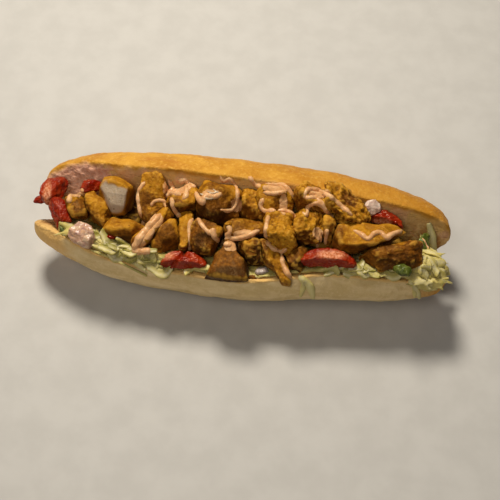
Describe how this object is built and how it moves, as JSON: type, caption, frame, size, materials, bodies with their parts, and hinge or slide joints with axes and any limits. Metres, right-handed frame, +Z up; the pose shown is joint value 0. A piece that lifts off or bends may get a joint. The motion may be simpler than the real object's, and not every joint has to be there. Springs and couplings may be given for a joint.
{
  "type": "chicken baguette",
  "caption": "Opened sandwich roll filled with shredded lettuce, tomato and diced roast chicken under a drizzled dressing, lying on its hinged edge.",
  "frame": {"origin": "centre of the flat that the roll rests on, below its hinge", "axes": "+X along the roll towards the end where lettuce spills out, +Y towards the standing top half, -Y towards the open front, +Z up"},
  "size_m": [0.2738, 0.0919, 0.0721],
  "materials": {
    "crust": "baked golden crust, paler underneath, soft crumb inside",
    "roast_chicken": "roasted and spiced, with browned edges, glossy pink-beige dressing on top",
    "tomato": "wet and glossy",
    "lettuce": "crisp, pale and slightly wet",
    "pepper": "waxy green skin",
    "onion": "pale and translucent"
  },
  "bodies": {
    "root": {"bread": "crust", "chicken_back_knob": "roast_chicken", "chicken_back_long": "roast_chicken", "chicken_back_middle": "roast_chicken", "chicken_big_middle": "roast_chicken", "chicken_brown_wedge": "roast_chicken", "chicken_browned_strip": "roast_chicken", "chicken_cut_cube": "roast_chicken", "chicken_dressed_cube": "roast_chicken", "chicken_dressed_knob": "roast_chicken", "chicken_flaky_back": "roast_chicken", "chicken_flaky_tip": "roast_chicken", "chicken_front_brown": "roast_chicken", "chicken_front_small": "roast_chicken", "chicken_front_tip": "roast_chicken", "chicken_front_triangle": "roast_chicken", "chicken_left_front_roll": "roast_chicken", "chicken_left_small": "roast_chicken", "chicken_left_strip": "roast_chicken", "chicken_middle_flat": "roast_chicken", "chicken_narrow_peak": "roast_chicken", "chicken_outlined": "roast_chicken", "chicken_right_stub": "roast_chicken", "chicken_round_left": "roast_chicken", "chicken_slant_strip": "roast_chicken", "chicken_smooth_strip": "roast_chicken", "chicken_standing_slab": "roast_chicken", "chicken_under_cube": "roast_chicken", "chicken_under_left": "roast_chicken", "chicken_under_middle": "roast_chicken", "chicken_under_right": "roast_chicken", "chicken_under_slab": "roast_chicken", "chicken_under_strip": "roast_chicken", "lettuce": "lettuce", "lettuce_dressed": "lettuce", "onion_front": "onion", "onion_piece": "onion", "pepper_back_right": "pepper", "pepper_left": "pepper", "pepper_right": "pepper", "tomato_back_right": "tomato", "tomato_front_left": "tomato", "tomato_front_right": "tomato", "tomato_left_back": "tomato", "tomato_left_lower": "tomato", "tomato_left_spike": "tomato", "tomato_left_upper": "tomato"}
  },
  "joints": []
}
